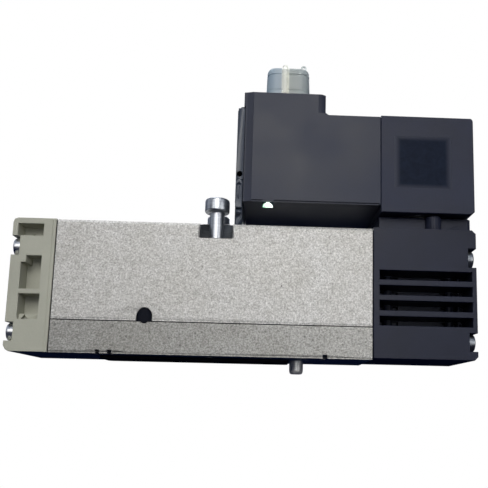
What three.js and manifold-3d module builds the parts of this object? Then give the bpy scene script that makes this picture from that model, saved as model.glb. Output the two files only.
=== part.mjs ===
// Pilot-operated 5/2 solenoid directional valve, 26 mm wide, base mounted.
// Millimetres, +Z up. X runs along the spool, from the return-spring end (-X) to the pilot end (+X).
// Origin: on the plane of the base's underside, midway between the two mounting screws.
import * as THREE from "three";
import Module from "manifold-3d";

const wasm = await Module();
wasm.setup();

// ---- driving dimensions (mm) ----
const WIDTH = 26, HY = WIDTH / 2;            // valve width
const COVER_L = -54.9, COVER_R = -43.2;      // end cover
const BODY_L = -42.9, BODY_R = 44.4;         // valve body between its two end gaskets
const PILOT_L = 44.7, PILOT_R = 73.6;        // pilot block
const BASE_T = 8.85, BODY_B = 9.1, BODY_T = 36.9;
const AXIS_Z = 22.9;                         // spool axis height
const BORE_R = 5.5, SPOOL_R = 5.4, WAIST_R = 3.4;
const PORTS = [-20.5, -11.5, -2.5, 6.5, 15.5], PORT_R = 2.6;
const SPOOL_TRAVEL = 3.5;
const SCREW_Y = 8.8, SCREW_FX = 0.45, SCREW_RX = -0.5; // mounting screws
const LAND_T = 39.1;                         // top of the land between the mounting screws
const SEAT_Z = 32.8, HEAD_Z = 40.9, HEAD_H = 4.0, HEAD_R = 3.5;
const SHANK_R = 2.0, SHANK_L = 40, HOLE_R = 2.25;
const END_Y = 9.9, END_ZT = 29.1, END_ZB = 5.4; // M3 end screws
const M3_R = 1.45, M3_HOLE = 1.65, M3_HEAD_R = 2.5;
const COIL_X = 60.1, COIL_L = 46.8, COIL_B = 41.75, COIL_T = 70.5;
const PLUG_L = 7.75, PLUG_R = 46.4, PLUG_B = 43.7, PLUG_SHOULDER = 70.1, PLUG_T = 76.3, PLUG_STEP = 30.8;
const M12_X = 19.95;
const PIN_X = 24.2;

// ---- helpers ----
const SEG = 24, BSEG = 16, PSEG = 20;           // facets: general, spool bore, piston
function ngon(r, n = SEG, cx = 0, cy = 0, phase = 0) {
  const p = [];
  for (let i = 0; i < n; i++) {
    const a = phase + (2 * Math.PI * i) / n;
    p.push([cx + r * Math.cos(a), cy + r * Math.sin(a)]);
  }
  return p;
}
function shape(pts) { return new THREE.Shape(pts.map((p) => new THREE.Vector2(p[0], p[1]))); }
function extrude(pts, depth) {
  return new THREE.ExtrudeGeometry(shape(pts), { depth, bevelEnabled: false, steps: 1 });
}
// outline in (x, y), pulled along z
function alongZ(pts, z0, z1) { return extrude(pts, z1 - z0).translate(0, 0, z0); }
// outline in (x, z), pulled along y
function alongY(pts, y0, y1) { return extrude(pts, y1 - y0).rotateX(Math.PI / 2).translate(0, y1, 0); }
// outline in (y, z), pulled along x
function alongX(pts, x0, x1) {
  const m = new THREE.Matrix4().makeBasis(new THREE.Vector3(0, 1, 0), new THREE.Vector3(0, 0, 1), new THREE.Vector3(1, 0, 0));
  return extrude(pts, x1 - x0).applyMatrix4(m).translate(x0, 0, 0);
}
function box(x0, x1, y0, y1, z0, z1) {
  return new THREE.BoxGeometry(x1 - x0, y1 - y0, z1 - z0).translate((x0 + x1) / 2, (y0 + y1) / 2, (z0 + z1) / 2);
}
const cylZ = (x, y, r, z0, z1, n = SEG) => alongZ(ngon(r, n, x, y), z0, z1);
const cylX = (y, z, r, x0, x1, n = SEG) => alongX(ngon(r, n, y, z), x0, x1);
const cylY = (x, z, r, y0, y1, n = SEG) => alongY(ngon(r, n, x, z), y0, y1);

function mergeVertices(pos, index) {
  const map = new Map(), verts = [], tri = [];
  const n = index ? index.count : pos.count;
  for (let i = 0; i < n; i++) {
    const k = index ? index.getX(i) : i;
    const x = pos.getX(k), y = pos.getY(k), z = pos.getZ(k);
    const key = `${Math.round(x * 1e4)},${Math.round(y * 1e4)},${Math.round(z * 1e4)}`;
    let id = map.get(key);
    if (id === undefined) { id = verts.length / 3; verts.push(x, y, z); map.set(key, id); }
    tri.push(id);
  }
  const out = [];
  for (let i = 0; i < tri.length; i += 3) {
    const [a, b, c] = [tri[i], tri[i + 1], tri[i + 2]];
    if (a !== b && b !== c && a !== c) out.push(a, b, c);
  }
  return { verts: new Float32Array(verts), tris: new Uint32Array(out) };
}
function solid(g) {
  const { verts, tris } = mergeVertices(g.attributes.position, g.index);
  return new wasm.Manifold(new wasm.Mesh({ numProp: 3, vertProperties: verts, triVerts: tris }));
}
function geom(m) {
  const mesh = m.getMesh();
  const g = new THREE.BufferGeometry();
  const np = mesh.numProp, vp = mesh.vertProperties, pos = new Float32Array((vp.length / np) * 3);
  for (let i = 0; i < vp.length / np; i++) for (let k = 0; k < 3; k++) pos[3 * i + k] = vp[np * i + k];
  g.setAttribute("position", new THREE.BufferAttribute(pos, 3));
  g.setIndex(new THREE.BufferAttribute(new Uint32Array(mesh.triVerts), 1));
  g.computeVertexNormals();
  return g;
}
function build(base, adds = [], cuts = []) {
  let m = solid(base);
  for (const a of adds) m = m.add(solid(a));
  for (const c of cuts) m = m.subtract(solid(c));
  return geom(m);
}
// ring or tube about +Z from a closed profile of [radius, height] points
function ring(profile, n = SEG) {
  const pts = profile.map((p) => new THREE.Vector2(p[0], p[1]));
  pts.push(pts[0].clone());
  const g = new THREE.LatheGeometry(pts, n);        // about +Y
  return g.rotateX(Math.PI / 2);
}
function spring(r, wire, length, turns, per = 10, sides = 6) {
  const pts = [], n = Math.round(turns * per);
  for (let i = 0; i <= n; i++) {
    const a = (2 * Math.PI * i) / per;
    pts.push(new THREE.Vector3(r * Math.cos(a), r * Math.sin(a), wire + ((length - 2 * wire) * i) / n));
  }
  const curve = new THREE.CatmullRomCurve3(pts);
  return new THREE.ExtrudeGeometry(shape(ngon(wire, sides)), { steps: n, extrudePath: curve, bevelEnabled: false });
}

const group = new THREE.Group();
group.name = "solenoid_directional_valve";
function add(name, geometry, color) {
  const m = new THREE.Mesh(geometry, new THREE.MeshStandardMaterial({ color }));
  m.name = name;
  group.add(m);
  return m;
}
const ALU = 0xc4c4c2, BEIGE = 0xb4b4a5, BLACK = 0x30323c, DARK = 0x44484f, STEEL = 0xb9bcc0, RUBBER = 0x101014, COPPER = 0xb87333;

// ---- base plate and valve body ----
{
  const cuts = [
    ...PORTS.map((x) => cylZ(x, 0, PORT_R, -1, 10, 12)),
    alongZ([[-31.2, -6.2], [22, -6.2], [22, 6.2], [-31.2, 6.2]], -1, 0.8),   // seal recess
    cylZ(SCREW_FX, -SCREW_Y, HOLE_R, -1, 10, 16), cylZ(SCREW_RX, SCREW_Y, HOLE_R, -1, 10, 16),
    cylZ(PIN_X, 0, 2.02, -1, 5.2, 16),
    cylZ(19.5, 4.6, 0.8, -1, 10, 8),
    box(-30.4, -29.35, -14, -11.5, -1, 1.05), box(-27.3, -26.0, -14, -11.5, -1, 1.05), box(30.75, 32.1, -14, -11.5, -1, 1.05),
  ];
  for (const y of [-END_Y, END_Y]) {
    cuts.push(cylX(y, END_ZB, M3_HOLE, BODY_L - 1, -37, 12), cylX(y, END_ZB, M3_HOLE, 36, BODY_R + 1, 12));
  }
  add("base_plate", build(box(BODY_L, BODY_R, -HY, HY, 0, BASE_T), [], cuts), 0xa9a9a6);
}
{
  const profile = [[-HY, BODY_B], [HY, BODY_B], [HY, BODY_T - 0.8], [HY - 0.8, BODY_T], [-HY + 0.8, BODY_T], [-HY, BODY_T - 0.8]];
  const cuts = [
    cylX(0, AXIS_Z, BORE_R, BODY_L - 1, BODY_R + 1, BSEG),
    cylX(0, AXIS_Z, 9.0, 36.3, BODY_R + 1, PSEG),                                   // piston chamber
    ...PORTS.map((x) => cylX(0, AXIS_Z, 6.0, x - 1.5, x + 1.5, BSEG)),
    ...PORTS.map((x) => cylZ(x, 0, PORT_R, 8, AXIS_Z - 2, 12)),
    // front counterbore, open to the front face
    cylZ(SCREW_FX, -SCREW_Y, 4.6, SEAT_Z, 40, 20), box(SCREW_FX - 4.35, SCREW_FX + 4.85, -HY - 1, -SCREW_Y, SEAT_Z, 38),
    // rear counterbore, open to the rear face
    cylZ(SCREW_RX, SCREW_Y, 4.6, SEAT_Z, 40, 20), box(SCREW_RX - 4.6, SCREW_RX + 4.6, SCREW_Y, HY + 1, SEAT_Z, 38),
    cylZ(SCREW_FX, -SCREW_Y, HOLE_R, 8, SEAT_Z + 1, 16), cylZ(SCREW_RX, SCREW_Y, HOLE_R, 8, SEAT_Z + 1, 16),
    cylZ(SCREW_FX, -SCREW_Y, 3.0, SEAT_Z - 1.7, SEAT_Z + 1, 16), cylZ(SCREW_RX, SCREW_Y, 3.0, SEAT_Z - 1.7, SEAT_Z + 1, 16),
    // half-round window above the joint
    alongY([[-20.05, 8], [-15.67, 8], [-15.67, 10.7], [-16.0, 11.8], [-16.8, 12.6], [-17.86, 12.85], [-18.9, 12.6], [-19.7, 11.8], [-20.05, 10.7]], -14, -10.4),
    // pilot supply: up from the base, then along to the pilot end
    cylZ(19.5, 4.6, 0.8, 8, 12.6, 8), cylX(4.6, 12, 0.8, 18.9, BODY_R + 1, 8),
  ];
  for (const y of [-END_Y, END_Y]) {
    cuts.push(cylX(y, END_ZT, M3_HOLE, BODY_L - 1, -37, 12), cylX(y, END_ZT, M3_HOLE, 36, BODY_R + 1, 12));
  }
  // land across the top that carries the walls of both counterbores up beside the screws
  const land = alongX([[-9.8, BODY_T - 1], [9.8, BODY_T - 1], [9.8, 37.15], [4.2, LAND_T], [-4.2, LAND_T], [-9.8, 37.15]], -6.2, 5.4);
  add("valve_body", build(alongX(profile, BODY_L, BODY_R), [land], cuts), ALU);
}
{
  const cuts = [
    ...PORTS.map((x) => cylZ(x, 0, PORT_R, 8, 10, 12)),
    cylZ(SCREW_FX, -SCREW_Y, HOLE_R, 8, 10, 16), cylZ(SCREW_RX, SCREW_Y, HOLE_R, 8, 10, 16), cylZ(19.5, 4.6, 0.8, 8, 10, 8),
  ];
  // the sheet between body and base, with its round tab in the window
  const tab = alongY([[-19.7, BASE_T], [-16.0, BASE_T], [-16.1, 10.2], [-16.9, 11.0], [-17.86, 11.3], [-18.8, 11.0], [-19.6, 10.2]], -12.6, -10.8);
  add("body_gasket", build(box(BODY_L + 0.5, BODY_R - 0.5, -HY + 0.5, HY - 0.5, BASE_T, BODY_B), [tab], cuts), RUBBER);
}
{
  const cuts = [...PORTS.map((x) => cylZ(x, 0, PORT_R - 0.3, -2, 2, 12)), cylZ(19.5, 4.6, 0.6, -2, 2, 8)];
  add("port_seal", build(alongZ([[-30, -6], [20.8, -6], [21.8, -5], [21.8, 5], [20.8, 6], [-30, 6], [-31, 5], [-31, -5]], -0.8, 0.8), [], cuts), RUBBER);
}
add("locating_pin", geom(solid(ring([[0, -3.8], [1.5, -3.8], [2.0, -3.2], [2.0, 5], [0, 5]], 16).translate(PIN_X, 0, 0))), STEEL);

// ---- spring-end cover ----
{
  const outline = [[COVER_R, 0], [COVER_R, BODY_T], [-53.6, BODY_T], [-54.6, 36.5], [COVER_L, 35.6], [COVER_L, 1.6], [-54.3, 0.5], [-53.4, 0]];
  const cuts = [
    cylX(0, AXIS_Z, 5.6, -53.4, COVER_R + 1, BSEG),
    box(-53.45, -46.55, -HY - 1, -7.9, 31.9, 35.25),
    box(-51.95, -46.55, -HY - 1, -7.9, 17.05, 24.4), box(-50.6, -46.55, -HY - 1, -7.9, 24, 26.3),
    box(-51.9, -46.35, -HY - 1, -7.9, 10.35, 15.7), box(-51.9, -46.35, -HY - 1, -11.5, 8.75, 11),
    box(-52, -46.5, 7.9, HY + 1, 10.4, 16), box(-52, -46.5, 7.9, HY + 1, 17.4, 26.3),
  ];
  for (const s of [-1, 1]) for (const z of [END_ZT, END_ZB]) {
    const h = z > 20 ? 2.7 : 2.55;
    cuts.push(cylX(s * END_Y, z, M3_HOLE, -56, COVER_R + 1, 12));
    cuts.push(s < 0 ? box(-56, -52.7, -HY - 1, -6.9, z - h, z + h) : box(-56, -52.7, 6.9, HY + 1, z - h, z + h));
  }
  add("end_cover", build(alongY(outline, -HY, HY), [], cuts), BEIGE);
}
{
  const cuts = [cylX(0, AXIS_Z, 5.8, -44, -42, BSEG)];
  for (const s of [-1, 1]) for (const z of [END_ZT, END_ZB]) cuts.push(cylX(s * END_Y, z, M3_HOLE, -44, -42, 12));
  add("end_cover_gasket", build(box(COVER_R, BODY_L, -HY + 0.5, HY - 0.5, 0.5, BODY_T - 0.5), [], cuts), RUBBER);
}
function m3(sign, seat, top, tip, y, z) {
  const [a, b] = sign < 0 ? [top, seat] : [seat, top];
  const head = alongX(ngon(M3_HEAD_R, 16, y, z), a, b);
  const shank = sign < 0 ? alongX(ngon(M3_R, 12, y, z), seat - 0.1, tip) : alongX(ngon(M3_R, 12, y, z), tip, seat + 0.1);
  const hex = sign < 0 ? alongX(ngon(1.4, 6, y, z), top - 1, top + 1.6) : alongX(ngon(1.4, 6, y, z), top - 1.4, top + 1);
  return build(head, [shank], [hex]);
}
for (const [side, s] of [["front", -1], ["rear", 1]]) for (const [lvl, z] of [["upper", END_ZT], ["lower", END_ZB]]) {
  add(`end_cover_screw_${side}_${lvl}`, m3(-1, -52.7, -54.85, -38, s * END_Y, z), STEEL);
  add(`pilot_block_screw_${side}_${lvl}`, m3(1, 71.3, 73.2, 37, s * END_Y, z), STEEL);
}

// ---- pilot block ----
{
  const outline = [[PILOT_L, 0.4], [72.6, 0.4], [PILOT_R, 1.4], [PILOT_R, 36.1], [72.5, 37.15], [PILOT_L, 37.15]];
  const cuts = [[22.35, 25.0], [18.05, 20.75], [13.7, 16.5], [9.5, 12.1]].map(([a, b]) => box(46.4, 72.3, -HY - 1, -3, a, b));
  cuts.push(
    cylX(4.6, 12, 0.8, PILOT_L - 1, 49, 8), cylZ(48.5, 4.6, 0.8, 11.4, 38, 8),        // pilot supply to the seat
    cylX(0, 33, 0.8, PILOT_L - 1, 56.5, 8), cylZ(56, 0, 0.8, 32.4, 38, 8),            // pilot pressure to the piston
  );
  for (const s of [-1, 1]) for (const z of [END_ZT, END_ZB]) {
    const h = z > 20 ? 2.7 : 2.55;
    cuts.push(cylX(s * END_Y, z, M3_HOLE, PILOT_L - 1, 75, 12));
    cuts.push(s < 0 ? box(71.3, 75, -HY - 1, -6.9, z - h, z + h) : box(71.3, 75, 6.9, HY + 1, z - h, z + h));
  }
  add("pilot_block", build(alongY(outline, -HY, HY), [], cuts), BLACK);
}
{
  const cuts = [cylX(0, AXIS_Z, 8.6, 44, 45, PSEG), cylX(4.6, 12, 0.8, 44, 45, 8), cylX(0, 33, 0.8, 44, 45, 8)];
  for (const s of [-1, 1]) for (const z of [END_ZT, END_ZB]) cuts.push(cylX(s * END_Y, z, M3_HOLE, 44, 45, 12));
  add("pilot_gasket", build(box(BODY_R, PILOT_L, -HY + 0.5, HY - 0.5, 0.9, BODY_T - 0.5), [], cuts), RUBBER);
}

// ---- pilot adapter with the manual override ----
{
  const plate = alongZ([[46.9, -9.3], [72.4, -9.3], [73.4, -8.3], [73.4, 10], [72.4, 11], [46.9, 11]], 37.15, 41.4);
  const boss = alongZ(ngon(2.3, 16, 62.4, -9.3), 37.15, 41.4);              // plain upright rib on the front
  const rearBoss = alongZ(ngon(2.6, 16, 62.4, 9.6), 37.15, 41.4);            // holds the override button
  const cuts = [
    cylZ(COIL_X, 0, 7.2, 40.2, 42), cylZ(COIL_X, 0, 0.7, 39.0, 41, 8), cylX(0, 39.4, 0.7, 55.3, COIL_X + 0.5, 8),
    cylZ(56, 0, 0.8, 36, 39.6, 8), cylZ(48.5, 4.6, 0.8, 36, 39.5, 8),
    cylX(4.6, 39.0, 0.7, 48, 57.0, 8), cylZ(56.6, 4.6, 0.7, 38.6, 41, 8),
    cylY(62.4, 39.2, 1.75, 7.5, 13, 16),
  ];
  add("pilot_adapter", build(plate, [boss, rearBoss], cuts), BLACK);
  add("manual_override_button", build(cylY(62.4, 39.2, 1.6, 9.4, 12.6, 16), [], [box(61.4, 63.4, 12.2, 13.2, 38.9, 39.5)]), DARK);
  add("override_spring", spring(1.1, 0.2, 1.75, 2.5, 8, 5).rotateX(-Math.PI / 2).translate(62.4, 7.6, 39.2), STEEL);
}

// ---- solenoid ----
{
  const outline = [[COIL_L, COIL_B], [72.3, COIL_B], [PILOT_R, 42.6], [PILOT_R, 69.8], [73.4, 70.3], [72.9, COIL_T], [COIL_L, COIL_T]];
  const cuts = [
    cylZ(COIL_X, 0, 11.0, 41, 66.0), cylZ(COIL_X, 0, 4.75, 41, 71), cylZ(COIL_X, 0, 6.8, 66.8, 71),
    box(50.6, 67.0, -HY - 1, -12.3, 49.0, 64.4),
  ];
  add("coil_housing", build(alongY(outline, -HY, HY), [], cuts), DARK);
  add("coil_label", box(50.9, 66.7, -12.65, -12.3, 49.3, 64.1), 0x202640);
}
add("coil_yoke_plate", geom(solid(ring([[4.85, COIL_B], [10.8, COIL_B], [10.8, 42.4], [4.85, 42.4]]).translate(COIL_X, 0, 0))), STEEL);
add("coil_bobbin", geom(solid(ring([[4.85, 42.5], [10.8, 42.5], [10.8, 43.3], [5.6, 43.3], [5.6, 64.9], [10.8, 64.9], [10.8, 65.8], [4.85, 65.8]]).translate(COIL_X, 0, 0))), 0xd8d4c0);
add("coil_winding", geom(solid(ring([[5.65, 43.4], [10.2, 43.4], [10.2, 64.8], [5.65, 64.8]]).translate(COIL_X, 0, 0))), COPPER);
add("armature_tube", geom(solid(ring([[4.0, 40.25], [7.0, 40.25], [7.0, 41.3], [4.6, 41.3], [4.6, 66.4], [2.9, 66.7], [2.9, 70.2], [0, 70.2], [0, 65.6], [4.0, 65.6]]).translate(COIL_X, 0, 0))), STEEL);
add("fixed_core", cylZ(COIL_X, 0, 3.9, 57.0, 65.5), STEEL);
add("armature", geom(solid(ring([[0, 41.2], [3.8, 41.2], [3.8, 56.2], [2.4, 56.2], [2.4, 49.9], [0, 49.9]]).translate(COIL_X, 0, 0))), STEEL);
add("armature_spring", spring(1.8, 0.3, 6.9, 5, 8, 5).translate(COIL_X, 0, 50.0), STEEL);
add("seat_seal", cylZ(COIL_X, 0, 2.2, 40.25, 41.15, 16), RUBBER);
add("coil_nut", build(alongZ(ngon(5.6, 6, COIL_X, 0), 66.95, 69.9), [], [cylZ(COIL_X, 0, 3.0, 66, 71)]), STEEL);

// ---- plug housing, its side cover and what is inside ----
{
  const outline = [[PLUG_L, PLUG_B], [PLUG_R, PLUG_B], [PLUG_R, PLUG_SHOULDER], [PLUG_STEP, PLUG_SHOULDER], [PLUG_STEP, PLUG_T], [7.3, PLUG_T], [7.3, 72.1], [PLUG_L, 72.1]];
  const cuts = [
    box(7, 44.9, -11.4, 11.4, 45.2, 68.6),
    cylZ(M12_X, 0, 5.0, 68, 77),
    box(13.2, 16.4, -12.9, -10.8, 43, 46),
  ];
  add("plug_housing", build(alongY(outline, -HY, HY), [], cuts), 0x4c5058);
}
{
  const plate = alongY([[5.5, 43.7], [7.65, 43.7], [7.65, 72.0], [6.6, 72.0], [5.5, 70.9]], -11.9, 11.9);
  const leg = box(5.5, 7.65, -10.5, 10.5, 37.2, 43.8);
  const cuts = [box(5.0, 8, -12.5, -11.2, 52, 53)];
  add("plug_housing_cover", build(plate, [leg], cuts), BLACK);
}
add("circuit_board", box(11, 43, 3, 4.4, 46.5, 65), 0x1d5a35);
add("status_lens", alongZ([[13.4, -11.0], [13.4, -11.9], [13.8, -12.5], [14.4, -12.75], [15.2, -12.75], [15.8, -12.5], [16.2, -11.9], [16.2, -11.0]], 42.8, 45.8), 0xd8e8d8);
add("m12_shell", geom(solid(ring([[4.2, 69.2], [4.9, 69.2], [4.9, 76.4], [6.5, 76.4], [6.5, 77.4], [6.0, 77.4], [6.0, 85.7], [5.7, 86.0], [4.9, 86.0], [4.9, 77.6], [4.2, 77.6]]).translate(M12_X, 0, 0))), STEEL);
{
  const pins = [[0, 1], [0, -1], [1, 0], [-1, 0]].map(([a, b]) => [M12_X + 2.3 * a, 2.3 * b]);
  add("contact_insert", build(cylZ(M12_X, 0, 4.1, 69.4, 77.9), [cylZ(M12_X, 0, 4.8, 77.7, 81.5)], pins.map(([x, y]) => cylZ(x, y, 0.55, 69, 82, 8))), BLACK);
  pins.forEach(([x, y], i) => add(`contact_pin_${i + 1}`, cylZ(x, y, 0.5, 67.2, 85.2, 8), 0xc8a850));
}
{
  // rounded-square cup over the thread, with an upright rib that ends in a nub, and a small eye
  const sq = (h, r) => {
    const p = [];
    for (const [sx, sy, a0] of [[1, 1, 0], [-1, 1, 90], [-1, -1, 180], [1, -1, 270]]) {
      for (let k = 0; k <= 3; k++) {
        const a = ((a0 + 30 * k) * Math.PI) / 180;
        p.push([M12_X + sx * (h - r) + r * Math.cos(a), sy * (h - r) + r * Math.sin(a)]);
      }
    }
    return p;
  };
  const adds = [
    alongZ(sq(6.4, 2.8), 83.0, 87.1), alongZ(sq(5.9, 2.3), 87.0, 87.6),
    alongZ([[18.2, -6.0], [18.2, -6.6], [18.6, -6.8], [19.4, -6.8], [19.8, -6.6], [19.8, -6.0]], 79.6, 87.1),
    cylZ(19.0, -5.4, 1.0, 87.4, 88.9, 10),
    alongY([[23.7, 87.4], [23.7, 88.9], [24.2, 89.5], [24.9, 89.5], [25.4, 88.9], [25.4, 87.4], [25.0, 87.4], [25.0, 88.7], [24.7, 89.1], [24.4, 89.1], [24.1, 88.7], [24.1, 87.4]], -4.6, -3.6),
  ];
  add("protective_cap", build(alongZ(sq(6.6, 2.9), 79.0, 83.2), adds, [cylZ(M12_X, 0, 6.1, 78, 86.6)]), 0x9aa39c);
}

// ---- mounting screws ----
for (const [side, x, y] of [["front", SCREW_FX, -SCREW_Y], ["rear", SCREW_RX, SCREW_Y]]) {
  const head = ring([[0, HEAD_Z], [HEAD_R - 0.15, HEAD_Z], [HEAD_R, HEAD_Z + 0.2], [HEAD_R, HEAD_Z + HEAD_H - 0.4], [HEAD_R - 0.4, HEAD_Z + HEAD_H], [0, HEAD_Z + HEAD_H]]).translate(x, y, 0);
  const shank = alongZ(ngon(SHANK_R, 16, x, y), HEAD_Z - SHANK_L, HEAD_Z + 0.5);
  add(`mounting_screw_${side}`, build(head, [shank], [alongZ(ngon(1.73, 6, x, y), HEAD_Z + 1.9, HEAD_Z + 5)]), STEEL);
  add(`screw_retaining_ring_${side}`, geom(solid(ring([[2.06, SEAT_Z - 1.6], [2.9, SEAT_Z - 1.6], [2.9, SEAT_Z - 0.2], [2.06, SEAT_Z - 0.2]], 16).translate(x, y, 0))), RUBBER);
}

// ---- spool, its seals, return spring and pilot piston ----
{
  // land segments joined by a thinner waist; each seal sits in a groove
  const spans = [[-42.0, -23.4], [-17.6, -14.4], [-8.6, -5.4], [0.9, 4.1], [9.7, 12.9], [18.0, 40.3]];
  const grooves = [-33, -16, -7, 2.5, 11.3, 27];
  let m = solid(cylX(0, AXIS_Z, WAIST_R, -42.0, 40.3, BSEG));
  for (const [a, b] of spans) m = m.add(solid(cylX(0, AXIS_Z, SPOOL_R, a, b, BSEG)));
  for (const g of grooves) m = m.subtract(solid(cylX(0, AXIS_Z, 7, g - 0.9, g + 0.9, BSEG)).subtract(solid(cylX(0, AXIS_Z, 4.4, g - 2, g + 2, BSEG))));
  add("spool", geom(m), 0xb8bcc4);
  grooves.forEach((g, i) => {
    const r = solid(cylX(0, AXIS_Z, 5.45, g - 0.8, g + 0.8, BSEG)).subtract(solid(cylX(0, AXIS_Z, 4.5, g - 2, g + 2, BSEG)));
    add(`spool_seal_${i + 1}`, geom(r), RUBBER);
  });
}
add("return_spring", spring(4.3, 0.5, 11.0, 5, 10, 5).rotateY(Math.PI / 2).translate(-53.2, 0, AXIS_Z), STEEL);
{
  const p = solid(cylX(0, AXIS_Z, 8.85, 40.4, 44.2, PSEG)).subtract(solid(cylX(0, AXIS_Z, 10, 41.4, 43.2, PSEG)).subtract(solid(cylX(0, AXIS_Z, 7.7, 41, 44, PSEG))));
  add("pilot_piston", geom(p), 0xe0dccf);
  add("piston_seal", geom(solid(cylX(0, AXIS_Z, 8.92, 41.5, 43.1, PSEG)).subtract(solid(cylX(0, AXIS_Z, 7.8, 41, 44, PSEG)))), RUBBER);
}

export default group;
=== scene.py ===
import math

import bmesh
import bpy
from mathutils import Matrix, Vector


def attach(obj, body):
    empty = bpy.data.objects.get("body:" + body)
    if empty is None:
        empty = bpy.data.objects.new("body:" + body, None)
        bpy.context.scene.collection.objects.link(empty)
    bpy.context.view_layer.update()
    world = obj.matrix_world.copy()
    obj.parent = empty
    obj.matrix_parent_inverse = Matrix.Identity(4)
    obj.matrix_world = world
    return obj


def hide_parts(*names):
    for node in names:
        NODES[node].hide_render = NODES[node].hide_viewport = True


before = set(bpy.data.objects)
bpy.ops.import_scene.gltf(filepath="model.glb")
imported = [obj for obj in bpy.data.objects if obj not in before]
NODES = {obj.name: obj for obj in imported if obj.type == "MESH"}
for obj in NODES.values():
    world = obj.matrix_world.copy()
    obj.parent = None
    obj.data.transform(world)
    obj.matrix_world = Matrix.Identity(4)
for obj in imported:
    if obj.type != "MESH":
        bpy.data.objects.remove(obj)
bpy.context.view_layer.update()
SCENE = bpy.context.scene
MM = 0.001


# ------------------------------------------------------------------ camera
def look_matrix(pitch, yaw, roll):
    f = Vector((math.sin(yaw) * math.cos(pitch), math.cos(yaw) * math.cos(pitch), math.sin(pitch)))
    r = Vector((math.cos(yaw), -math.sin(yaw), 0.0))
    u = r.cross(f)
    d = -u
    c, s = math.cos(roll), math.sin(roll)
    r2 = c * r + s * d
    d2 = -s * r + c * d
    return Matrix(((r2.x, -d2.x, -f.x), (r2.y, -d2.y, -f.y), (r2.z, -d2.z, -f.z)))


cam_data = bpy.data.cameras.new("view")
cam = bpy.data.objects.new("view", cam_data)
SCENE.collection.objects.link(cam)
cam_data.sensor_width = 36.0
cam_data.lens = 36.0 * 640.7 / 488.0
cam_data.shift_x = (244.0 - 291.1) / 488.0
cam_data.shift_y = (308.9 - 244.0) / 488.0
cam_data.clip_start = 0.005
cam_data.clip_end = 30.0
cam.matrix_world = Matrix.Translation((0.0161, -0.18629, -0.01285)) @ look_matrix(
    math.radians(8.60), math.radians(1.94), math.radians(-1.22)
).to_4x4()
SCENE.camera = cam


# ------------------------------------------------------------------ node helpers
class Mat:
    """A procedural material built on one Principled shader, patterned in object space (metres)."""

    def __init__(self, name, color, rough, metallic=0.0, **sockets):
        self.m = bpy.data.materials.new(name)
        self.m.use_nodes = True
        self.t = self.m.node_tree
        self.t.nodes.clear()
        self.out = self.t.nodes.new("ShaderNodeOutputMaterial")
        self.b = self.t.nodes.new("ShaderNodeBsdfPrincipled")
        self.t.links.new(self.b.outputs[0], self.out.inputs[0])
        self.b.inputs["Base Color"].default_value = (*color, 1.0)
        self.b.inputs["Roughness"].default_value = rough
        self.b.inputs["Metallic"].default_value = metallic
        for k, v in sockets.items():
            self.b.inputs[k.replace("_", " ")].default_value = v
        self.tc = self.t.nodes.new("ShaderNodeTexCoord")
        self.bumps = []

    def node(self, kind, **props):
        n = self.t.nodes.new(kind)
        for k, v in props.items():
            setattr(n, k, v)
        return n

    def link(self, a, b):
        self.t.links.new(a, b)

    def coords(self, stretch=(1, 1, 1), rotate=(0, 0, 0)):
        mp = self.node("ShaderNodeMapping")
        mp.inputs["Scale"].default_value = stretch
        mp.inputs["Rotation"].default_value = rotate
        self.link(self.tc.outputs["Object"], mp.inputs["Vector"])
        return mp.outputs[0]

    def noise(self, size_mm, detail=4.0, rough=0.6, stretch=(1, 1, 1), distort=0.0):
        n = self.node("ShaderNodeTexNoise")
        n.inputs["Scale"].default_value = 1.0 / (size_mm * MM)
        n.inputs["Detail"].default_value = detail
        n.inputs["Roughness"].default_value = rough
        n.inputs["Distortion"].default_value = distort
        self.link(self.coords(stretch), n.inputs["Vector"])
        return n.outputs["Fac"]

    def voronoi(self, size_mm, feature="F1", stretch=(1, 1, 1)):
        n = self.node("ShaderNodeTexVoronoi", feature=feature)
        n.inputs["Scale"].default_value = 1.0 / (size_mm * MM)
        self.link(self.coords(stretch), n.inputs["Vector"])
        return n.outputs["Distance"]

    def ramp(self, fac, stops):
        r = self.node("ShaderNodeValToRGB")
        e = r.color_ramp.elements
        while len(e) < len(stops):
            e.new(0.5)
        for el, (p, c) in zip(e, stops):
            el.position = p
            el.color = (*c, 1.0) if len(c) == 3 else c
        self.link(fac, r.inputs[0])
        return r.outputs[0]

    def map(self, fac, a0, a1, b0, b1):
        r = self.node("ShaderNodeMapRange")
        for i, v in zip(("From Min", "From Max", "To Min", "To Max"), (a0, a1, b0, b1)):
            r.inputs[i].default_value = v
        self.link(fac, r.inputs["Value"])
        return r.outputs["Result"]

    def mix(self, fac, a, b, mode="MIX"):
        n = self.node("ShaderNodeMix", data_type="RGBA", blend_type=mode)
        for val, idx in ((fac, 0), (a, 6), (b, 7)):
            if isinstance(val, (int, float)):
                n.inputs[idx].default_value = val
            elif isinstance(val, tuple):
                n.inputs[idx].default_value = (*val, 1.0)
            else:
                self.link(val, n.inputs[idx])
        return n.outputs[2]

    def color(self, out):
        self.link(out, self.b.inputs["Base Color"])
        return self

    def rough(self, out):
        self.link(out, self.b.inputs["Roughness"])
        return self

    def bump(self, fac, depth_mm, strength=1.0):
        n = self.node("ShaderNodeBump")
        n.inputs["Strength"].default_value = strength
        n.inputs["Distance"].default_value = depth_mm * MM
        self.link(fac, n.inputs["Height"])
        if self.bumps:
            self.link(self.bumps[-1].outputs[0], n.inputs["Normal"])
        self.bumps.append(n)
        self.link(n.outputs[0], self.b.inputs["Normal"])
        return self


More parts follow.
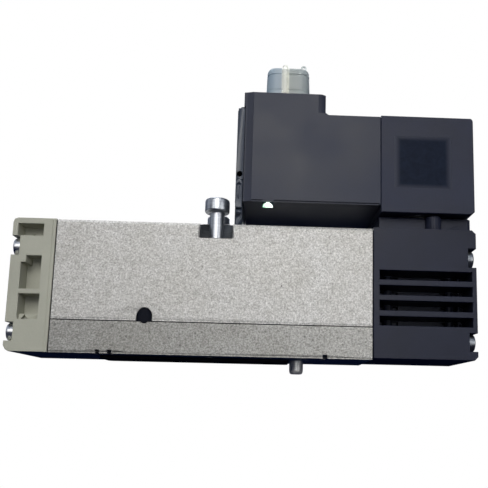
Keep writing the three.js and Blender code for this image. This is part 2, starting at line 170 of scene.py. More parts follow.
def cast_metal(name, lo, hi, seed_mm=0.5, left_shade=1.0, pit=0.07):
    """Blasted die-cast aluminium: bright and dark grain, soft patches, open pits, and, when asked, painted shade that
    darkens it towards -X.
    """
    m = Mat(name, hi, 0.5, 0.28)
    fine = m.noise(seed_mm, 3, 0.8)
    mid = m.noise(1.05, 3, 0.7)
    patch = m.noise(16.0, 3, 0.55, distort=0.6)
    grain = m.ramp(fine, [(0.37, lo), (0.50, tuple((a + b) / 2 for a, b in zip(lo, hi))), (0.63, hi)])
    base = m.mix(1.0, grain, m.ramp(mid, [(0.34, (0.76, 0.755, 0.74)), (0.56, (1.0, 1.0, 1.0))]), "MULTIPLY")
    tint = m.ramp(patch, [(0.33, (0.80, 0.795, 0.78)), (0.66, (1.0, 1.0, 1.0))])
    dark = m.ramp(m.voronoi(2.3), [(0.02, (0.40, 0.40, 0.39)), (pit, (1, 1, 1))])
    spots = m.ramp(m.voronoi(9.0), [(0.012, (0.22, 0.21, 0.20)), (0.035, (1, 1, 1))])
    col = m.mix(1.0, m.mix(1.0, m.mix(1.0, base, tint, "MULTIPLY"), dark, "MULTIPLY"), spots, "MULTIPLY")
    # painted shade: the colour darkens towards -X, standing in for the light that falls from the right
    if left_shade < 1.0:
        sx = m.node("ShaderNodeSeparateXYZ")
        m.link(m.tc.outputs["Object"], sx.inputs[0])
        mid_shade = left_shade + (1 - left_shade) * 0.25
        soil_and_shade = m.ramp(m.map(sx.outputs["X"], -0.045, 0.045, 0.0, 1.0), [(0.0, (left_shade,) * 3), (0.5, (mid_shade,) * 3), (1.0, (1, 1, 1))])
        col = m.mix(1.0, col, soil_and_shade, "MULTIPLY")
    m.color(col)
    m.rough(m.map(patch, 0.3, 0.7, 0.46, 0.60))
    m.bump(m.noise(0.34, 4, 0.7), 0.030, 1.0)
    m.bump(mid, 0.030, 0.9)
    return m.m


def plastic(name, color, var, rough, grain_mm=0.22, depth=0.006, spec=0.5, patch_mm=14.0):
    m = Mat(name, color, rough)
    m.b.inputs["Specular IOR Level"].default_value = spec
    patch = m.noise(patch_mm, 3, 0.5)
    fine = m.noise(0.5, 4, 0.6)
    a = tuple(c * (1 - var) for c in color)
    b = tuple(min(1, c * (1 + var)) for c in color)
    m.color(m.mix(0.25, m.ramp(patch, [(0.35, a), (0.65, b)]), m.ramp(fine, [(0.35, a), (0.65, b)])))
    m.rough(m.map(patch, 0.3, 0.7, max(0.05, rough - 0.06), rough + 0.06))
    m.bump(m.noise(grain_mm, 3, 0.55), depth, 0.8)
    return m.m


def turned(name, lo, hi, rough, axis="Z", metallic=1.0, line_mm=0.18):
    m = Mat(name, hi, rough, metallic)
    s = {"X": (1, 0.02, 0.02), "Y": (0.02, 1, 0.02), "Z": (0.02, 0.02, 1)}[axis]
    lines = m.noise(line_mm, 3, 0.5, stretch=s)
    soil_and_shade = m.noise(3.0, 3, 0.6)
    m.color(m.mix(0.4, m.ramp(lines, [(0.35, lo), (0.65, hi)]), m.ramp(soil_and_shade, [(0.3, lo), (0.7, hi)])))
    m.rough(m.map(soil_and_shade, 0.3, 0.7, rough - 0.05, rough + 0.08))
    m.bump(lines, 0.004, 0.7)
    return m.m


M = {}
# painted shade darkens both castings towards -X: down to 0.86 on the body and to 0.70 on the base plate
M["cast"] = cast_metal("cast_body", (0.44, 0.43, 0.41), (0.95, 0.935, 0.905), left_shade=0.86)
M["cast_base"] = cast_metal("cast_base", (0.28, 0.275, 0.26), (0.72, 0.71, 0.67), 0.5, 0.70, pit=0.20)
M["beige"] = plastic("beige_plastic", (0.41, 0.41, 0.335), 0.10, 0.52, grain_mm=0.3, depth=0.008)
M["pilot"] = plastic("pilot_plastic", (0.014, 0.017, 0.034), 0.22, 0.46, depth=0.009, spec=0.25)
M["coil"] = plastic("coil_plastic", (0.018, 0.022, 0.043), 0.20, 0.50, depth=0.010, spec=0.27)
M["plug"] = plastic("plug_plastic", (0.019, 0.023, 0.042), 0.20, 0.50, depth=0.010, spec=0.38)
M["cover"] = plastic("cover_plastic", (0.036, 0.046, 0.068), 0.18, 0.36, depth=0.006, spec=0.5)


def label_film():
    """A darker square with soft edges on a film of the coil's own colour; the darker square is painted reflection,
    standing in for the dark room mirrored in the smooth film.
    """
    m = Mat("label_film", (0.013, 0.020, 0.040), 0.44)
    m.b.inputs["Specular IOR Level"].default_value = 0.28
    sx = m.node("ShaderNodeSeparateXYZ")
    m.link(m.tc.outputs["Object"], sx.inputs[0])
    dist = []
    for axis, c, half in (("X", 0.0588, 0.0082), ("Z", 0.0567, 0.0082)):
        sub = m.node("ShaderNodeMath", operation="SUBTRACT")
        m.link(sx.outputs[axis], sub.inputs[0])
        sub.inputs[1].default_value = c
        ab = m.node("ShaderNodeMath", operation="ABSOLUTE")
        m.link(sub.outputs[0], ab.inputs[0])
        dist.append(m.map(ab.outputs[0], half - 0.0018, half - 0.0002, 0.0, 1.0))
    mx = m.node("ShaderNodeMath", operation="MAXIMUM")
    m.link(dist[0], mx.inputs[0])
    m.link(dist[1], mx.inputs[1])
    smear = m.noise(2.5, 4, 0.7, distort=1.0)
    # painted reflection: the square is darker than the film around it, standing in for the dark room mirrored in the
    # smooth film
    inner = m.ramp(smear, [(0.30, (0.005, 0.009, 0.021)), (0.72, (0.010, 0.016, 0.033))])
    m.color(m.mix(mx.outputs[0], inner, (0.018, 0.022, 0.043)))
    m.link(m.map(mx.outputs[0], 0.0, 1.0, 0.06, 0.27), m.b.inputs["Specular IOR Level"])
    m.rough(m.map(smear, 0.3, 0.7, 0.40, 0.50))
    m.bump(m.noise(0.22, 3, 0.55), 0.008, 0.8)
    return m.m


M["label"] = label_film()
M["rubber"] = plastic("rubber", (0.006, 0.007, 0.012), 0.25, 0.72, grain_mm=0.35, depth=0.010, spec=0.10)
M["zinc"] = turned("zinc_screw", (0.40, 0.42, 0.45), (0.60, 0.62, 0.65), 0.34)
M["zinc_x"] = turned("zinc_end_screw", (0.80, 0.81, 0.82), (0.94, 0.94, 0.95), 0.28, axis="X")
M["dark_x"] = turned("dark_end_screw", (0.22, 0.24, 0.26), (0.38, 0.40, 0.43), 0.34, axis="X")
M["pin"] = turned("ground_pin", (0.74, 0.73, 0.70), (0.90, 0.89, 0.86), 0.38, metallic=0.40)
# painted shade: the bore material is dark to stand in for the shade on the counterbore walls
M["machined"] = turned("machined_bore", (0.13, 0.14, 0.15), (0.24, 0.25, 0.26), 0.42, metallic=0.75)
M["nickel"] = turned("nickel_shell", (0.60, 0.59, 0.56), (0.76, 0.75, 0.72), 0.28)
M["soft_steel"] = turned("soft_steel", (0.42, 0.42, 0.42), (0.58, 0.58, 0.58), 0.34)
M["wire"] = turned("spring_wire", (0.46, 0.46, 0.47), (0.62, 0.62, 0.63), 0.28, line_mm=0.4)
M["spool"] = turned("anodised_spool", (0.55, 0.56, 0.58), (0.72, 0.73, 0.75), 0.30, axis="X", metallic=0.9)
M["gold"] = turned("gold_contact", (0.62, 0.44, 0.16), (0.80, 0.60, 0.24), 0.22)
M["copper"] = turned("copper_winding", (0.45, 0.17, 0.07), (0.72, 0.33, 0.14), 0.34, line_mm=0.35)
M["bobbin"] = plastic("bobbin_plastic", (0.70, 0.67, 0.55), 0.06, 0.5)
M["board"] = plastic("board_laminate", (0.05, 0.20, 0.09), 0.2, 0.4, grain_mm=0.4)
M["piston"] = plastic("piston_plastic", (0.72, 0.70, 0.63), 0.05, 0.42)


def clear_cap():
    m = Mat("cap_plastic", (0.66, 0.72, 0.75), 0.34)
    m.b.inputs["IOR"].default_value = 1.46
    m.b.inputs["Transmission Weight"].default_value = 0.45
    m.b.inputs["Specular IOR Level"].default_value = 0.6
    cloud = m.noise(6.0, 3, 0.5)
    sx = m.node("ShaderNodeSeparateXYZ")
    m.link(m.tc.outputs["Object"], sx.inputs[0])
    # painted light across the cap in X: bluish shade on the left, a painted highlight band over the rib, greyer shade
    # on the right
    painted_light_sweep = m.ramp(m.map(sx.outputs["X"], 0.0134, 0.0265, 0.0, 1.0), [(0.0, (0.46, 0.56, 0.64)), (0.33, (0.50, 0.58, 0.64)), (0.36, (1.0, 1.0, 0.93)), (0.50, (1.0, 1.0, 0.90)),
                                                                     (0.53, (0.50, 0.54, 0.52)), (1.0, (0.47, 0.52, 0.53))])
    m.color(m.mix(1.0, painted_light_sweep, m.ramp(cloud, [(0.3, (0.90, 0.92, 0.94)), (0.7, (1.0, 1.0, 0.98))]), "MULTIPLY"))
    m.rough(m.map(m.noise(1.6, 3, 0.6), 0.3, 0.7, 0.38, 0.50))
    m.bump(m.noise(1.6, 3, 0.6), 0.008, 0.6)
    return m.m


def lens_mat():
    m = Mat("lens_plastic", (0.86, 0.93, 0.86), 0.18)
    m.b.inputs["Transmission Weight"].default_value = 0.25
    # painted glow: the unlit lens emits light, standing in for the bright light that passes through it
    m.b.inputs["Emission Color"].default_value = (0.92, 1.0, 0.94, 1.0)
    m.b.inputs["Emission Strength"].default_value = 0.75
    m.color(m.ramp(m.noise(1.2, 2, 0.5), [(0.3, (0.70, 0.92, 0.74)), (0.7, (0.95, 0.98, 0.95))]))
    sx = m.node("ShaderNodeSeparateXYZ")
    m.link(m.tc.outputs["Object"], sx.inputs[0])
    # the painted glow fades to dark green towards the lens's left end, a painted shade
    painted_glow = m.ramp(m.map(sx.outputs["X"], 0.0134, 0.0162, 0.0, 1.0), [(0.08, (0.16, 0.55, 0.30)), (0.38, (0.88, 1.0, 0.92)), (0.9, (0.95, 1.0, 0.97))])
    m.link(painted_glow, m.b.inputs["Emission Color"])
    m.bump(m.noise(0.3, 2, 0.5), 0.004, 0.5)
    return m.m


M["cap"] = clear_cap()
M["lens"] = lens_mat()


# ------------------------------------------------------------------ mesh helpers (millimetres until finish)
def obj_of(bm, name="t"):
    bmesh.ops.remove_doubles(bm, verts=bm.verts, dist=1e-5)
    bmesh.ops.recalc_face_normals(bm, faces=bm.faces)
    me = bpy.data.meshes.new(name)
    bm.to_mesh(me)
    bm.free()
    ob = bpy.data.objects.new(name, me)
    SCENE.collection.objects.link(ob)
    return ob


def prism(pts, axis, a, b):
    """An outline pulled along axis. Outline points are (x, z) for Y, (x, y) for Z and (y, z) for X."""
    put = {"X": lambda p, t: (t, p[0], p[1]), "Y": lambda p, t: (p[0], t, p[1]), "Z": lambda p, t: (p[0], p[1], t)}[axis]
    bm = bmesh.new()
    lo = [bm.verts.new(put(p, a)) for p in pts]
    hi = [bm.verts.new(put(p, b)) for p in pts]
    bm.faces.new(lo)
    bm.faces.new(hi)
    n = len(pts)
    for i in range(n):
        bm.faces.new((lo[i], lo[(i + 1) % n], hi[(i + 1) % n], hi[i]))
    return obj_of(bm)


def box(x0, x1, y0, y1, z0, z1):
    return prism([(x0, y0), (x1, y0), (x1, y1), (x0, y1)], "Z", z0, z1)


def circle(r, n, cx=0.0, cy=0.0, a0=0.0):
    return [(cx + r * math.cos(a0 + 2 * math.pi * i / n), cy + r * math.sin(a0 + 2 * math.pi * i / n)) for i in range(n)]


def cyl(axis, c, r, a, b, n=64):
    return prism(circle(r, n, *c), axis, a, b)


def rounded(pts, r, n=6):
    """Rounds each corner of an outline; r is one radius or a list with one for each corner."""
    out = []
    k = len(pts)
    for i in range(k):
        p0, p1, p2 = Vector(pts[i - 1]), Vector(pts[i]), Vector(pts[(i + 1) % k])
        ri = r[i] if isinstance(r, (list, tuple)) else r
        if ri <= 0:
            out.append(tuple(p1))
            continue
        d1, d2 = (p0 - p1), (p2 - p1)
        l1, l2 = d1.length, d2.length
        d1.normalize()
        d2.normalize()
        ang = d1.angle(d2)
        t = min(ri / math.tan(ang / 2), l1 * 0.49, l2 * 0.49)
        rr = t * math.tan(ang / 2)
        a, b = p1 + d1 * t, p1 + d2 * t
        bis = (d1 + d2).normalized()
        cen = p1 + bis * (rr / math.sin(ang / 2))
        va, vb = a - cen, b - cen
        tot = va.angle_signed(vb)
        for j in range(n + 1):
            w = -tot * j / n
            out.append((cen.x + va.x * math.cos(w) - va.y * math.sin(w), cen.y + va.x * math.sin(w) + va.y * math.cos(w)))
    return out


def lathe(profile, n=72, axis="Z", at=(0, 0, 0)):
    """Turns (radius, height) points about an axis; a profile that doesn't close starts and ends on the axis."""
    bm = bmesh.new()
    rings = []
    for r, z in profile:
        if r < 1e-6:
            rings.append([bm.verts.new((0, 0, z))])
        else:
            rings.append([bm.verts.new((r * math.cos(2 * math.pi * i / n), r * math.sin(2 * math.pi * i / n), z)) for i in range(n)])
    closed = profile[0][0] > 1e-6
    pairs = list(zip(rings, rings[1:])) + ([(rings[-1], rings[0])] if closed else [])
    for a, b in pairs:
        for i in range(n):
            j = (i + 1) % n
            if len(a) == 1 and len(b) == 1:
                continue
            if len(a) == 1:
                bm.faces.new((a[0], b[i], b[j]))
            elif len(b) == 1:
                bm.faces.new((a[i], a[j], b[0]))
            else:
                bm.faces.new((a[i], a[j], b[j], b[i]))
    rot = {"Z": Matrix(), "X": Matrix.Rotation(math.pi / 2, 4, "Y"), "Y": Matrix.Rotation(-math.pi / 2, 4, "X")}[axis]
    bmesh.ops.transform(bm, matrix=Matrix.Translation(at) @ rot, verts=bm.verts)
    return obj_of(bm)


def thread(r_major, pitch, z0, z1, depth, n=48, at=(0, 0), lead=0.8, core=0.0):
    """A screw thread as one closed surface: stacked rings whose radius follows the helix, closed on the axis or on a bore of radius core."""
    bm = bmesh.new()
    steps = int((z1 - z0) / pitch * 10)
    rings = []
    for k in range(steps + 1):
        z = z0 + (z1 - z0) * k / steps
        fade = min(1.0, (z - z0) / lead, (z1 - z) / lead)
        ring = []
        for i in range(n):
            a = 2 * math.pi * i / n
            t = ((z - z0) / pitch - i / n) % 1.0
            tri = 1 - abs(2 * t - 1)
            tri = min(1.0, max(0.0, (tri - 0.12) / 0.76))
            r = r_major - depth * (1 - tri) * max(0.0, min(1.0, fade * 1.5)) - (0.35 * depth * (1 - min(1.0, fade * 3)))
            ring.append(bm.verts.new((at[0] + r * math.cos(a), at[1] + r * math.sin(a), z)))
        rings.append(ring)
    for a, b in zip(rings, rings[1:]):
        for i in range(n):
            j = (i + 1) % n
            bm.faces.new((a[i], a[j], b[j], b[i]))
    if core > 0:
        inner = [[bm.verts.new((at[0] + core * math.cos(2 * math.pi * i / n), at[1] + core * math.sin(2 * math.pi * i / n), z)) for i in range(n)] for z in (z0, z1)]
        for i in range(n):
            j = (i + 1) % n
            bm.faces.new((inner[0][i], inner[0][j], rings[0][j], rings[0][i]))
            bm.faces.new((rings[-1][i], rings[-1][j], inner[1][j], inner[1][i]))
            bm.faces.new((inner[1][i], inner[1][j], inner[0][j], inner[0][i]))
    else:
        bm.faces.new(rings[0])
        bm.faces.new(rings[-1])
    return obj_of(bm)


def copy_node(name):
    """The CAD solid as a new mesh in millimetres, on a 1 micron grid so that cuts meet it exactly."""
    me = NODES[name].data.copy()
    me.transform(NODES[name].matrix_world)
    bm = bmesh.new()
    bm.from_mesh(me)
    bpy.data.meshes.remove(me)
    for v in bm.verts:
        v.co = Vector([round(c * 1000, 3) for c in v.co])
    for l in list(bm.loops.layers.uv):
        bm.loops.layers.uv.remove(l)
    bmesh.ops.remove_doubles(bm, verts=bm.verts, dist=2e-4)
    return obj_of(bm)


def bake(ob):
    dg = bpy.context.evaluated_depsgraph_get()
    me = bpy.data.meshes.new_from_object(ob.evaluated_get(dg), depsgraph=dg)
    ob.modifiers.clear()
    old = ob.data
    ob.data = me
    bpy.data.meshes.remove(old)
    return ob


def volume(ob):
    bm = bmesh.new()
    bm.from_mesh(ob.data)
    v = bm.calc_volume(signed=False)
    bm.free()
    return v


def boolean(ob, others, op="DIFFERENCE"):
    for o in others:
        keep = ob.data.copy()
        for solver in ("MANIFOLD", "EXACT"):
            m = ob.modifiers.new("b", "BOOLEAN")
            m.object = o
            m.operation = op
            m.solver = solver
            bake(ob)
            if len(ob.data.polygons) > 3:
                break
            ob.data = keep.copy()
        bpy.data.meshes.remove(keep)
        bpy.data.objects.remove(o, do_unlink=True)
    return ob


def cut(ob, *others):
    return boolean(ob, list(others), "DIFFERENCE")


def join(ob, *others):
    return boolean(ob, list(others), "UNION")


def offset(pts, d):
    """Moves a closed outline outward by d, mitred at its corners."""
    n = len(pts)
    area = sum(pts[i - 1][0] * pts[i][1] - pts[i][0] * pts[i - 1][1] for i in range(n))
    s = 1 if area > 0 else -1
    out = []
    for i in range(n):
        p0, p1, p2 = Vector(pts[i - 1]), Vector(pts[i]), Vector(pts[(i + 1) % n])
        e1, e2 = (p1 - p0).normalized(), (p2 - p1).normalized()
        n1, n2 = Vector((e1.y, -e1.x)) * s, Vector((e2.y, -e2.x)) * s
        m = (n1 + n2) / (1 + n1.dot(n2))
        out.append((p1.x + m.x * d, p1.y + m.y * d))
    return out


def section(r, n):
    """Cross-section outside a quarter round: (outward from the outline, into the material)."""
    arc = [(-r + r * math.sin(math.pi / 2 * k / n), r - r * math.cos(math.pi / 2 * k / n)) for k in range(1, n)]
    return [(-r - 0.25 * r, -0.02)] + arc + [(0.02, r + 0.25 * r), (0.6, r + 0.25 * r), (0.6, -0.5), (-r - 0.25 * r, -0.5)]


def rim(ob, pts, axis, at, into, r, lip=False, n=4):
    """Rounds the edge where a face across axis meets an outline: the outer rim, or with lip the mouth of a pocket."""
    put = {"X": lambda p, t: (t, p[0], p[1]), "Y": lambda p, t: (p[0], t, p[1]), "Z": lambda p, t: (p[0], p[1], t)}[axis]
    bm = bmesh.new()
    rings = [[bm.verts.new(put(p, at + into * t)) for p in offset(pts, -o if lip else o)] for o, t in section(r, n)]
    k = len(pts)
    for i in range(len(rings)):
        a, b = rings[i], rings[(i + 1) % len(rings)]
        for j in range(k):
            bm.faces.new((a[j], a[(j + 1) % k], b[(j + 1) % k], b[j]))
    return cut(ob, obj_of(bm))


def edge(ob, axis, at, out, a, b, r, n=4):
    """Rounds a straight edge along axis from a to b; at is the corner and out the two signs that point off the material."""
    pts = [(at[0] + out[0] * u, at[1] - out[1] * v) for u, v in section(r, n)]
    return cut(ob, prism(pts, axis, a, b))


def rect(x0, x1, z0, z1):
    return [(x0, z0), (x1, z0), (x1, z1), (x0, z1)]


def finish(ob, name, material, body="valve", nodes=(), bevel=0.0, seg=2, angle=32, smooth=38):
    """Triangulates, shades, scales to metres and hands the piece to the frame."""
    if bevel > 0:
        m = ob.modifiers.new("bev", "BEVEL")
        m.width = bevel
        m.segments = seg
        m.limit_method = "ANGLE"
        m.angle_limit = math.radians(angle)
        bake(ob)
    bm = bmesh.new()
    bm.from_mesh(ob.data)
    bmesh.ops.remove_doubles(bm, verts=bm.verts, dist=2e-3)
    bmesh.ops.dissolve_degenerate(bm, edges=bm.edges, dist=1e-3)
    bmesh.ops.triangulate(bm, faces=bm.faces, quad_method="BEAUTY", ngon_method="BEAUTY")
    bmesh.ops.recalc_face_normals(bm, faces=bm.faces)
    bm.to_mesh(ob.data)
    bm.free()
    ob.data.transform(Matrix.Scale(MM, 4))
    for p in ob.data.polygons:
        p.use_smooth = True
    ob.data.set_sharp_from_angle(angle=math.radians(smooth))
    w = ob.modifiers.new("wn", "WEIGHTED_NORMAL")
    w.keep_sharp = True
    w.weight = 100
    bake(ob)
    ob.name = name
    ob.data.name = name
    ob.data.materials.clear()
    ob.data.materials.append(material)
    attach(ob, body)
    if nodes:
        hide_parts(*nodes)
    return ob


# ------------------------------------------------------------------ dimensions shared with the CAD (mm)
HY = 13.0
BODY_L, BODY_R, BODY_B, BODY_T, BASE_T = -42.9, 44.4, 9.1, 36.9, 8.85
SCREW_FX, SCREW_RX, SCREW_Y = 0.45, -0.5, 8.8
SEAT_Z, HEAD_Z = 32.8, 40.9
END_Y, END_ZT, END_ZB = 9.9, 29.1, 5.4
COIL_X = 60.1
M12_X = 19.95

# ------------------------------------------------------------------ metal body and base
body = copy_node("valve_body")
PROFILE = [(-HY, BODY_B), (HY, BODY_B), (HY, BODY_T - 0.8), (HY - 0.8, BODY_T), (-HY + 0.8, BODY_T), (-HY, BODY_T - 0.8)]
rim(body, PROFILE, "X", BODY_L, 1, 0.12)
rim(body, PROFILE, "X", BODY_R, -1, 0.12)
for s in (-1, 1):
    edge(body, "X", (s * HY, BODY_B), (s, 1), BODY_L - 1, BODY_R + 1, 0.10)
for x0, x1, s in ((SCREW_FX - 4.35, SCREW_FX + 4.85, -1), (SCREW_RX - 4.6, SCREW_RX + 4.6, 1)):
    edge(body, "X", (s * HY, SEAT_Z), (s, -1), x0 + 0.01, x1 - 0.01, 0.45)
    edge(body, "Z", (x0, s * HY), (1, -s), SEAT_Z + 0.01, BODY_T + 1, 0.35)
    edge(body, "Z", (x1, s * HY), (-1, -s), SEAT_Z + 0.01, BODY_T + 1, 0.35)
# a handling scratch above the window, and a dent beside it
cut(body, prism([(-17.3, 14.35), (-17.05, 14.4), (-16.1, 13.1), (-15.45, 12.0), (-15.6, 11.9), (-16.3, 12.95)], "Y", -HY - 1, -HY + 0.18))
cut(body, prism([(-16.9, 13.75), (-16.0, 13.3), (-15.95, 13.42), (-16.8, 13.9)], "Y", -HY - 1, -HY + 0.12))
finish(body, "valve_body_casting", M["cast"], "valve", ["valve_body"], smooth=20)
# the counterbore walls and seats take a smoother, darker material than the cast skin: the smoothness is their machined
# finish, and the darkness is painted shade standing in for the shade inside the bores
me = bpy.data.objects["valve_body_casting"].data
me.materials.append(M["machined"])
for poly in me.polygons:
    c, n = poly.center * 1000, poly.normal
    for x, s in ((SCREW_FX, -1), (SCREW_RX, 1)):
        if abs(c.x - x) < 5.0 and 4.0 < s * c.y < 12.97 and c.z > 32.7 and not (n.z > 0.5 and c.z > 34) and s * n.y < 0.9:
            poly.material_index = 1

base = copy_node("base_plate")
BASE_PROFILE = [(-HY, 0.0), (HY, 0.0), (HY, BASE_T), (-HY, BASE_T)]
rim(base, BASE_PROFILE, "X", BODY_L, 1, 0.12)
rim(base, BASE_PROFILE, "X", BODY_R, -1, 0.12)
for s in (-1, 1):
    edge(base, "X", (s * HY, BASE_T), (s, -1), BODY_L - 1, BODY_R + 1, 0.16)
    edge(base, "X", (s * HY, 0.0), (s, 1), BODY_L - 1, BODY_R + 1, 0.2)
for x0, x1 in ((-30.4, -29.35), (-27.3, -26.0), (30.75, 32.1)):
    cut(base, box(x0 + 0.01, x1 - 0.01, -HY + 0.5, -8.5, -1, 1.04))
NOTCH = [(-18.8, 9.0), (-18.65, 8.62), (-18.25, 8.35), (-17.45, 8.35), (-17.05, 8.62), (-16.9, 9.0)]
cut(base, prism(NOTCH, "Y", -HY - 1, -12.3))
finish(base, "base_plate_casting", M["cast_base"], "valve", ["base_plate"], smooth=20)

gasket = copy_node("body_gasket")
join(gasket, prism([(-19.9, 8.9), (-15.82, 8.9), (-15.82, 10.7), (-16.12, 11.7), (-16.88, 12.46), (-17.86, 12.7), (-18.84, 12.46), (-19.58, 11.7), (-19.9, 10.7)], "Y", -12.8, -10.6))
join(gasket, prism([(-18.7, 9.05), (-18.55, 8.7), (-18.2, 8.45), (-17.5, 8.45), (-17.15, 8.7), (-17.0, 9.05)], "Y", -12.9, -12.4))
finish(gasket, "body_gasket_sheet", M["rubber"], "valve", ["body_gasket"])

# ------------------------------------------------------------------ end cover
cover = copy_node("end_cover")
COVER_TOP = [(-43.2, 0.0), (-43.2, 36.9), (-53.6, 36.9), (-54.6, 36.5), (-54.9, 35.6)]
COVER_FACE = COVER_TOP + [(-54.9, 31.8), (-52.7, 31.8), (-52.7, 26.4), (-54.9, 26.4), (-54.9, 7.95), (-52.7, 7.95), (-52.7, 2.85), (-54.9, 2.85),
                          (-54.9, 1.6), (-54.3, 0.5), (-53.4, 0.0)]
rim(cover, COVER_FACE, "Y", -HY, 1, 0.18)
rim(cover, COVER_FACE, "Y", HY, -1, 0.18)
R2 = [(-51.95, 17.05), (-46.55, 17.05), (-46.55, 26.3), (-50.6, 26.3), (-50.6, 24.4), (-51.95, 24.4)]
for pocket in (rect(-53.45, -46.55, 31.9, 35.25), R2, rect(-51.9, -46.35, 10.35, 15.7)):
    rim(cover, pocket, "Y", -HY, 1, 0.22, lip=True)
for pocket in (rect(-52, -46.5, 10.4, 16), rect(-52, -46.5, 17.4, 26.3)):
    rim(cover, pocket, "Y", HY, -1, 0.22, lip=True)
# shallow joint line beside the metal, and the small three-cornered pits in two of the recesses
cut(cover, box(-44.12, -43.92, -HY - 1, -HY + 0.14, 0.6, 36.4), box(-44.12, -43.92, HY - 0.14, HY + 1, 0.6, 36.4))
cut(cover, prism([(-51.9, 31.92), (-49.9, 31.92), (-50.9, 33.55)], "Y", -8.3, -6.6))
cut(cover, prism([(-51.3, 8.95), (-49.4, 8.95), (-50.4, 10.2)], "Y", -12.0, -10.2))
finish(cover, "end_cover_moulding", M["beige"], "valve", ["end_cover"], smooth=20)

# ------------------------------------------------------------------ pilot block
pilot = copy_node("pilot_block")
PILOT_FACE = [(44.7, 0.4), (72.6, 0.4), (73.6, 1.4), (73.6, 2.85), (71.3, 2.85), (71.3, 7.95), (73.6, 7.95), (73.6, 26.4), (71.3, 26.4), (71.3, 31.8),
              (73.6, 31.8), (73.6, 36.1), (72.5, 37.15), (44.7, 37.15)]
rim(pilot, PILOT_FACE, "Y", -HY, 1, 0.2)
rim(pilot, PILOT_FACE, "Y", HY, -1, 0.2)
SLOTS = [(22.35, 25.0), (18.05, 20.75), (13.7, 16.5), (9.5, 12.1)]
for a, b in SLOTS:
    # the slots run deeper beside the middle block, with upright round bosses in them
    cut(pilot, box(47.2, 53.5, -3.2, -0.9, a + 0.15, b - 0.15), box(65.9, 71.6, -3.2, -0.9, a + 0.15, b - 0.15))
    rim(pilot, rect(46.4, 72.3, a, b), "Y", -HY, 1, 0.2, lip=True)
for x, r in ((50.2, 1.25), (68.2, 1.15), (71.0, 0.55)):
    join(pilot, cyl("Z", (x, -3.6), r, 9.0, 25.5, 36))
finish(pilot, "pilot_block_moulding", M["pilot"], "valve", ["pilot_block"], smooth=20)

adapter = copy_node("pilot_adapter")
edge(adapter, "X", (-9.3, 41.4), (-1, -1), 46.0, 74.0, 0.25)
edge(adapter, "X", (-9.3, 37.15), (-1, 1), 46.0, 74.0, 0.25)
join(adapter, cyl("Z", (62.4, -9.25), 2.34, 37.2, 41.35, 64))
finish(adapter, "pilot_adapter_moulding", M["pilot"], "valve", ["pilot_adapter"], smooth=20)

# ------------------------------------------------------------------ coil housing, plug housing and its side cover
coil = copy_node("coil_housing")
COIL_FACE = [(46.8, 41.75), (72.3, 41.75), (73.6, 42.6), (73.6, 69.8), (73.4, 70.3), (72.9, 70.5), (46.8, 70.5)]
rim(coil, COIL_FACE, "Y", -HY, 1, 0.22)
rim(coil, COIL_FACE, "Y", HY, -1, 0.22)
edge(coil, "Z", (73.6, -HY), (1, 1), 41.0, 71.0, 0.5)
edge(coil, "Z", (73.6, HY), (1, -1), 41.0, 71.0, 0.5)
finish(coil, "coil_housing_moulding", M["coil"], "valve", ["coil_housing"], smooth=8)

label = prism(rect(50.62, 66.98, 49.02, 64.38), "Y", -12.98, -12.3)
finish(label, "coil_label_film", M["label"], "valve", ["coil_label"])

plug = copy_node("plug_housing")
join(plug, box(46.0, 46.70, -HY, HY, 43.7, 70.1))
join(plug, prism([(30.5, 69.8), (32.1, 69.8), (32.1, 70.1)] + [(32.1 - 1.3 * math.sin(math.pi / 2 * k / 6), 71.4 - 1.3 * math.cos(math.pi / 2 * k / 6)) for k in range(1, 6)]
                 + [(30.8, 71.4), (30.5, 71.4)], "Y", -HY + 0.3, HY - 0.3))
PLUG_FACE = [(7.75, 43.7), (46.7, 43.7), (46.7, 70.1), (30.8, 70.1), (30.8, 76.3), (7.3, 76.3), (7.3, 72.1), (7.75, 72.1)]
for s in (-1, 1):
    # the upright corners beside the side cover are drawn in, and the raised part falls away towards its right corner
    cut(plug, prism([(7.0, s * (HY - 0.80)), (8.2, s * (HY - 0.62)), (9.95, s * (HY - 0.10)), (10.05, s * (HY + 0.01)), (10.05, s * (HY + 1)), (7.0, s * (HY + 1))], "Z", 43.0, 77.0))
    cut(plug, prism([(31.4, s * (HY - 1.3)), (30.8, s * (HY - 0.95)), (30.2, s * (HY - 0.52)), (29.5, s * (HY - 0.2)), (28.6, s * (HY + 0.01)), (28.6, s * (HY + 1)), (31.4, s * (HY + 1))], "Z", 70.6, 77.0))
rim(plug, PLUG_FACE, "Y", -HY, 1, 0.20)
rim(plug, PLUG_FACE, "Y", HY, -1, 0.20)
edge(plug, "X", (-HY, 43.7), (-1, 1), 10.2, 46.3, 0.35)
join(plug, box(13.1, 16.5, -12.95, -12.32, 43.72, 46.1))
# two short handling scratches
cut(plug, prism([(27.3, 66.3), (28.8, 66.75), (29.9, 66.65), (29.9, 66.77), (28.8, 66.9), (27.3, 66.42)], "Y", -HY - 1, -HY + 0.03))
cut(plug, prism([(27.2, 65.2), (28.4, 65.4), (28.4, 65.5), (27.2, 65.29)], "Y", -HY - 1, -HY + 0.03))
finish(plug, "plug_housing_moulding", M["plug"], "valve", ["plug_housing"], smooth=8)

side = copy_node("plug_housing_cover")
for s in (-1, 1):
    edge(side, "Z", (5.5, s * 11.9), (-1, s), 43.75, 73.0, 0.6)
    edge(side, "Z", (5.5, s * 10.5), (-1, s), 36.0, 43.6, 0.5)
join(side, box(5.75, 7.6, -12.5, -11.5, 50.2, 71.3))
